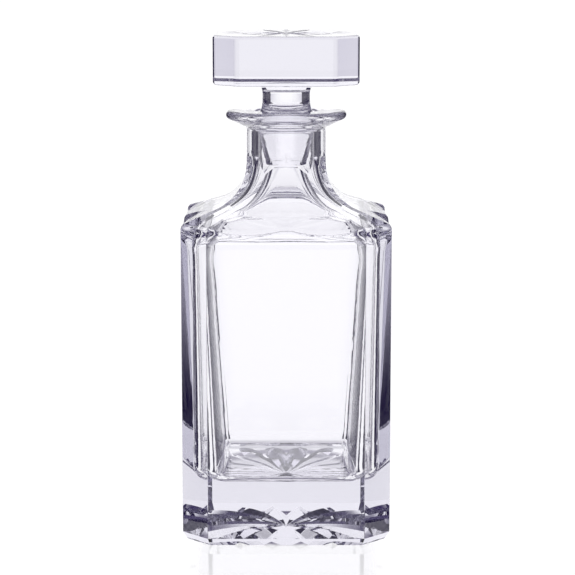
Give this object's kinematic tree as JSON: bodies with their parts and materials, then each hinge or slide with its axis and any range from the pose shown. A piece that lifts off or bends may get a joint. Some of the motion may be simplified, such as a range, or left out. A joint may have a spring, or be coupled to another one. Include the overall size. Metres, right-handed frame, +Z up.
{
  "type": "decanter",
  "caption": "Square cut-glass decanter with cut corners, a star-cut foot, a flanged round neck and a lift-out ground glass stopper with a square faceted head.",
  "frame": {"origin": "middle of the foot, on the surface the decanter stands on", "axes": "+Z up along the neck's axis; X and Y square to the four main walls"},
  "size_m": [0.096, 0.096, 0.2324],
  "materials": {
    "clear_crystal": "polished, with a ground band on the plug and its seat"
  },
  "bodies": {
    "decanter": {"decanter_body": "clear_crystal"},
    "stopper": {"stopper": "clear_crystal"}
  },
  "joints": [
    {"name": "stopper_lift", "type": "slide", "parent": "decanter", "child": "stopper", "axis": [0, 0, 1], "range_m": [0, 0.04]}
  ]
}
